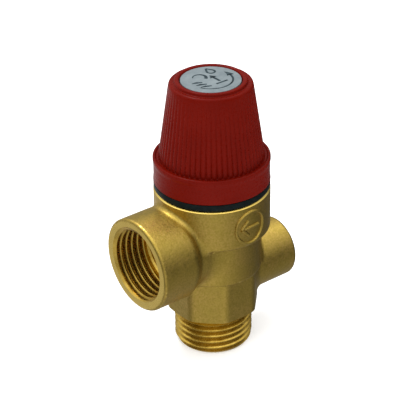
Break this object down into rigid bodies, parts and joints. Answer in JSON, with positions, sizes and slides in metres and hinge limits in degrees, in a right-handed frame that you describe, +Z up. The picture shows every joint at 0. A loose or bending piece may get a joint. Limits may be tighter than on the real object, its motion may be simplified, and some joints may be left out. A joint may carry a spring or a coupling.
{
  "type": "pressure relief valve",
  "caption": "Brass angle pressure relief valve with threaded ports, diaphragm and spring, and a red fluted knob that turns and lifts the stem to open it.",
  "frame": {"origin": "on the valve's axis at the inlet's end face", "axes": "+Z up along the valve's axis from inlet to knob; -X is the way the outlet faces, +X the gauge port"},
  "size_m": [0.0479, 0.0306, 0.0768],
  "materials": {
    "brass": "hot forged, fine grain, machined end faces",
    "steel": "plain",
    "rubber": "moulded",
    "nylon": "natural nylon",
    "black_plastic": "glass-filled, satin",
    "red_plastic": "moulded, half gloss",
    "label": "printed plate"
  },
  "bodies": {
    "housing": {"valve_body": "brass", "bonnet": "black_plastic", "slip_ring": "nylon", "diaphragm": "rubber", "relief_spring": "steel", "upper_spring_plate": "steel", "adjuster_nut": "brass"},
    "lift_carriage": {"thrust_washer": "nylon"},
    "knob": {"knob": "red_plastic", "label_disc": "label"},
    "stem": {"stem": "brass", "stem_nut": "steel", "clamp_nut": "steel", "lower_spring_plate": "brass", "disc_holder": "brass", "seat_gasket": "rubber", "gasket_washer": "brass", "disc_screw": "steel"}
  },
  "joints": [
    {"name": "knob_lift", "type": "slide", "parent": "housing", "child": "lift_carriage", "axis": [0, 0, 1], "range_m": [0, 0.0015], "deforming": ["relief_spring", "diaphragm"]},
    {"name": "knob_turn", "type": "hinge", "parent": "lift_carriage", "child": "knob", "pos_m": [0, 0, 0.066], "axis": [0, 0, 1], "range_deg": [0, 75]},
    {"name": "relief_lift", "type": "slide", "parent": "lift_carriage", "child": "stem", "axis": [0, 0, 1], "range_m": [0, 0.0015], "stiffness_N_per_m": 2000, "springref_m": -0.005, "deforming": ["relief_spring", "diaphragm"]}
  ],
  "couplings": [
    {"joint": "knob_turn", "follows": "knob_lift", "rad_per_m": 872.6}
  ]
}
